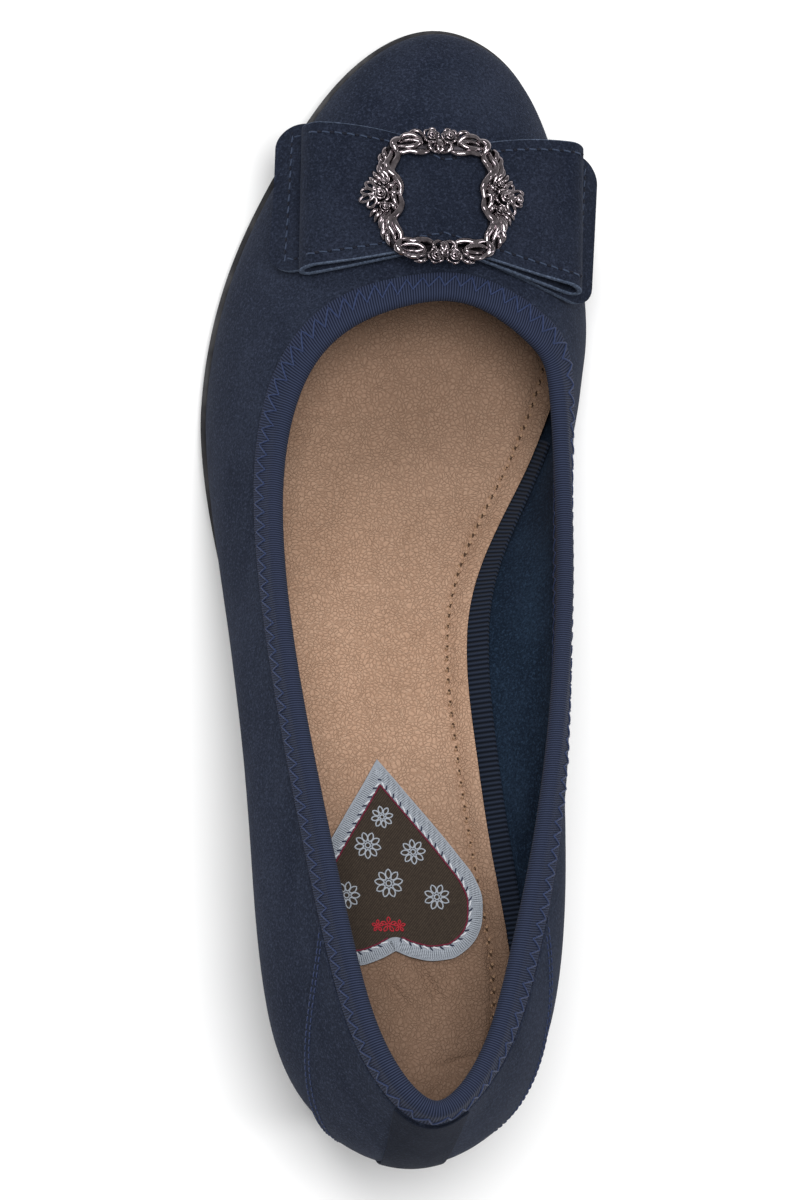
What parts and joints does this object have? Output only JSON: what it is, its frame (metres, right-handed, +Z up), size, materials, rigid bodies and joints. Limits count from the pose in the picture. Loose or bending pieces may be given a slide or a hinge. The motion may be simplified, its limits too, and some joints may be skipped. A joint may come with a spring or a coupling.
{
  "type": "dirndl pump",
  "caption": "Left low-heeled dirndl pump in navy suede with a round toe, elastic topline, flat bow and square ornamental buckle.",
  "frame": {"origin": "middle of the bounding box's footprint, on the floor", "axes": "+Y towards the toe, +X towards the inner side of the foot, +Z up"},
  "size_m": [0.0854, 0.2534, 0.1005],
  "materials": {
    "suede": "navy suede, short even nap",
    "elastic": "ribbed elastic with zigzag stitching",
    "ribbon": "dark grosgrain tape",
    "insole_leather": "tan leather, fine grain",
    "patch_cloth": "brown woven satin",
    "sole_rubber": "black, satin",
    "dark_metal": "polished gunmetal"
  },
  "bodies": {
    "root": {"upper": "suede", "topline_binding": "elastic", "rear_panel": "suede", "back_strip": "suede", "outsole": "sole_rubber", "heel": "suede", "heel_lift": "sole_rubber", "insole": "insole_leather", "side_tape": "ribbon", "heel_patch": "patch_cloth", "bow_tails": "suede", "bow_loops": "suede", "buckle": "dark_metal"}
  },
  "joints": []
}
